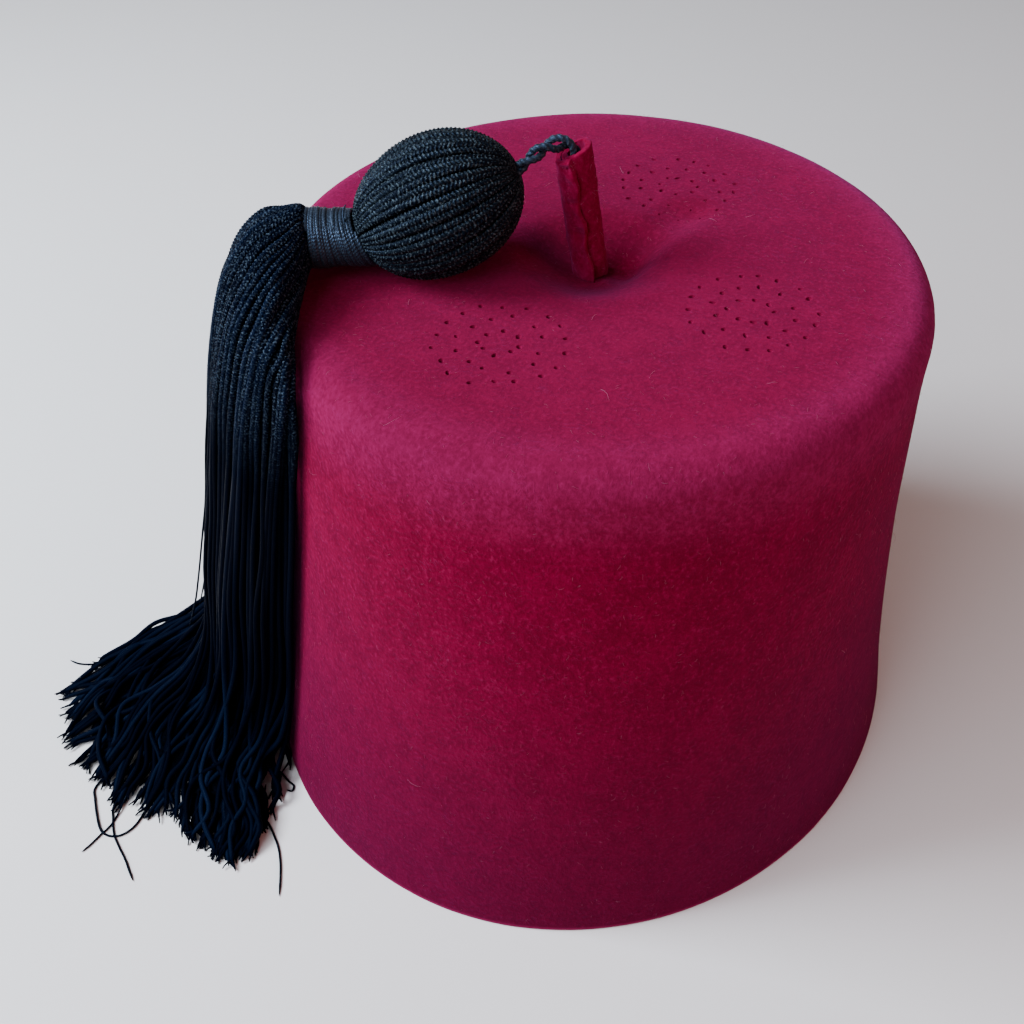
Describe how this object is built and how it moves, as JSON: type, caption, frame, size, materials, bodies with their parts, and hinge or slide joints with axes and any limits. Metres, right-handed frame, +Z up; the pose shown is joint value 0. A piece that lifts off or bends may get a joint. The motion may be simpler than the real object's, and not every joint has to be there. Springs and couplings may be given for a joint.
{
  "type": "fez hat",
  "caption": "Tapering felt fez, open below, with a flat vented top, a rolled felt stem and a dark tassel that falls over one side.",
  "frame": {"origin": "on the surface the hat stands on, below the middle of the bounding box of hat and tassel", "axes": "+Z up along the drum's axis, +Y along the long axis of its oval base, +X across it; the tassel falls towards -X and -Y"},
  "size_m": [0.2082, 0.2146, 0.1666],
  "materials": {
    "crimson_felt": "matte wool felt with a short nap",
    "black_thread": "satin twisted thread"
  },
  "bodies": {
    "root": {"crown": "crimson_felt", "stem": "crimson_felt", "loop_cord": "black_thread", "tassel_ball": "black_thread", "neck_wrap": "black_thread", "tassel_skirt": "black_thread"}
  },
  "joints": []
}
